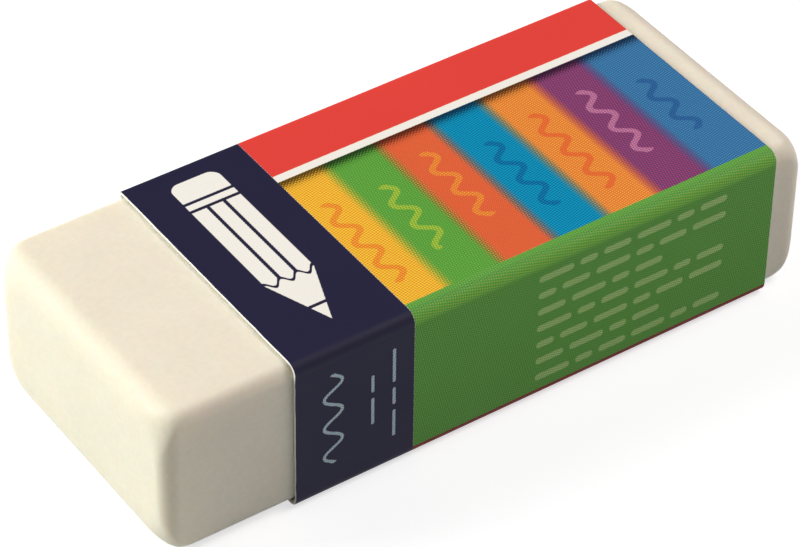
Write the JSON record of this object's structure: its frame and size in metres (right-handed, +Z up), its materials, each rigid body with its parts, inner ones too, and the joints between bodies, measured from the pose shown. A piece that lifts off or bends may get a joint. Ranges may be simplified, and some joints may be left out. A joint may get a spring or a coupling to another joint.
{
  "type": "sleeved pencil eraser",
  "caption": "Soft white vinyl block eraser with rounded ends that slides in a folded card sleeve printed with colour stripes.",
  "frame": {"origin": "centre of the overall box at the sleeve's underside", "axes": "+X along the block, from the long bare end to the short one; +Y towards the sleeve's glued lap; +Z up"},
  "size_m": [0.0556, 0.0232, 0.0133],
  "materials": {
    "white_vinyl": "matte",
    "printed_card": "satin print"
  },
  "bodies": {
    "sleeve": {"card_sleeve": "printed_card"},
    "block": {"eraser_block": "white_vinyl"}
  },
  "joints": [
    {"name": "block_slide", "type": "slide", "parent": "sleeve", "child": "block", "axis": [1, 0, 0], "range_m": [-0.0032, 0.01045]}
  ]
}
